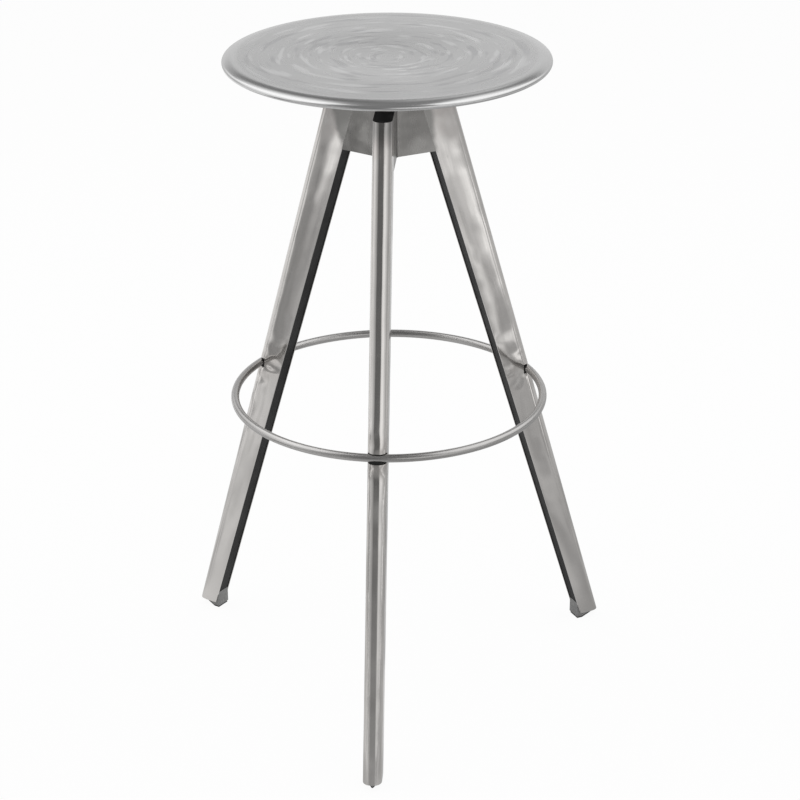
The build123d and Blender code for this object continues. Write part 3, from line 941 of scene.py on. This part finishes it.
def ceiling_tone(tree, place):
    """Bright areas of the two softboxes, with a dark gap between them that widens to the front."""
    x, y = split(tree, place)[:2]
    out = size_of(tree, x)
    right = spread(tree, x, -0.3, 0.3)
    band_y = spread(tree, right, 0.0, 1.0, left_band_y, right_band_y)
    behind = difference(tree, product_plus(tree, out, band_slant, y), band_y)
    share = spread_linear(tree, behind, band_start, band_end)
    left_tone = ramp_colour(tree, share, left_ceiling_stops)
    right_tone = ramp_colour(tree, share, right_ceiling_stops)
    tone = blend_colour(tree, right, left_tone, right_tone)

    corner = product(tree, spread(tree, x, 0.45, 0.85), spread(tree, behind, -0.2, 0.1))
    tone = blend_colour(tree, corner, tone, grey(0.2))

    gap_half, gap_slope, gap_start = 0.42, -0.68, 0.35
    edge = math_step(tree, "MAXIMUM", product_plus(tree, y, gap_slope, gap_start), gap_half)
    within = spread(tree, difference(tree, out, edge), 0.13, -0.12)
    gap = product(tree, within, spread(tree, behind, 0.0, -0.4))
    return blend_colour(tree, gap, tone, grey(0.26))


def floor_tone(tree, place):
    """Rings of light and dark round the stool, different by side and by turn."""
    x, y = split(tree, place)[:2]
    radius = length_of(tree, place)
    share = spread_linear(tree, radius, 0.0, room_r)
    out = size_of(tree, x)
    turn = math_step(tree, "ARCTAN2", product(tree, y, -1.0), out)
    far = spread(tree, radius, 0.9, 1.1)

    def side_tone(outer_stops, inner_stops, inner_turn, edge_turn, edge_tone):
        outer = ramp_colour(tree, share, outer_stops)
        inner = ramp_colour(tree, share, inner_stops)
        tone = blend_colour(tree, spread_turn(tree, turn, *inner_turn), outer, inner)
        beyond = product(tree, spread_turn(tree, turn, *edge_turn), far)
        return blend_colour(tree, beyond, tone, grey(edge_tone))

    left = side_tone(left_outer_stops, left_inner_stops, (19, 28), (9, 2), 0.95)
    right = side_tone(right_outer_stops, right_inner_stops, (24, 32), (14, 4), 0.6)
    tone = blend_colour(tree, spread(tree, x, -0.2, 0.2), left, right)
    front = product(tree, spread(tree, out, 0.8, 0.4), spread(tree, y, -0.5, -0.9))
    tone = blend_colour(tree, front, tone, grey(0.35))
    patches = spread(tree, noise(tree, place, scale=6.0, detail=1.0), 0.35, 0.65, 0.82, 1.18)
    return scaled(tree, tone, patches)


def make_surround():
    """Grey walls, ceiling and floor sheet that give the steel something to mirror."""
    corners = []
    faces = []
    for step in range(wall_steps):
        angle = 2 * math.pi * step / wall_steps
        x, y = room_r * math.cos(angle), room_r * math.sin(angle)
        corners += [(x, y, 0.0), (x, y, room_h)]
        first, second = 2 * step, 2 * ((step + 1) % wall_steps)
        faces.append((first, second, second + 1, first + 1))
    glow_sheet("grey_walls", corners, faces, wall_tone)
    glow_sheet("grey_ceiling", level_square(room_r, room_h), [(0, 1, 2, 3)], ceiling_tone)
    glow_sheet("grey_floor_sheet", level_square(room_r, floor_sheet_z), [(0, 1, 2, 3)], floor_tone)


def soft_lamp(name, x, width, watts):
    """An overhead softbox that shines straight down; the ceiling sheet stands for it in reflections."""
    y, z, length = 0.4, 2.4, 2.6
    data = bpy.data.lights.new(name, "AREA")
    data.shape = "RECTANGLE"
    data.size = width
    data.size_y = length
    data.energy = watts
    lamp = bpy.data.objects.new(name, data)
    lamp.location = (x, y, z)
    lamp.rotation_euler = Vector((0, 0, -z)).to_track_quat("-Z", "Y").to_euler()
    lamp.visible_glossy = False
    bpy.context.scene.collection.objects.link(lamp)


def make_camera():
    """The camera at the photo's place: its height and distance, then turned round the stool's axis."""
    turn = 0.0748
    place = Vector((0, -2.5564, 1.4886))
    yaw, pitch, roll = 0.0049, 0.4217, -0.0034
    sensor_mm, focal_px, frame_px = 36, 2461.18, 800
    ahead = Vector((math.sin(yaw) * math.cos(pitch), math.cos(yaw) * math.cos(pitch), -math.sin(pitch)))
    level = Vector((math.cos(yaw), -math.sin(yaw), 0))
    up = level.cross(ahead)
    right = level * math.cos(roll) + up * math.sin(roll)
    top = up * math.cos(roll) - level * math.sin(roll)
    pose = Matrix((right, top, -ahead)).transposed().to_4x4()
    pose.translation = place
    data = bpy.data.cameras.new("photo_camera")
    data.sensor_width = sensor_mm
    data.lens = sensor_mm * focal_px / frame_px
    data.clip_end = 60
    camera = bpy.data.objects.new("photo_camera", data)
    camera.matrix_world = Matrix.Rotation(turn, 4, "Z") @ pose
    bpy.context.scene.collection.objects.link(camera)
    bpy.context.scene.camera = camera


make_floor()
make_world()
make_surround()
soft_lamp("left_softbox", x=-1.16, width=1.48, watts=20.5)
soft_lamp("right_softbox", x=1.18, width=1.44, watts=19)
make_camera()
bpy.context.scene.view_settings.view_transform = "Standard"
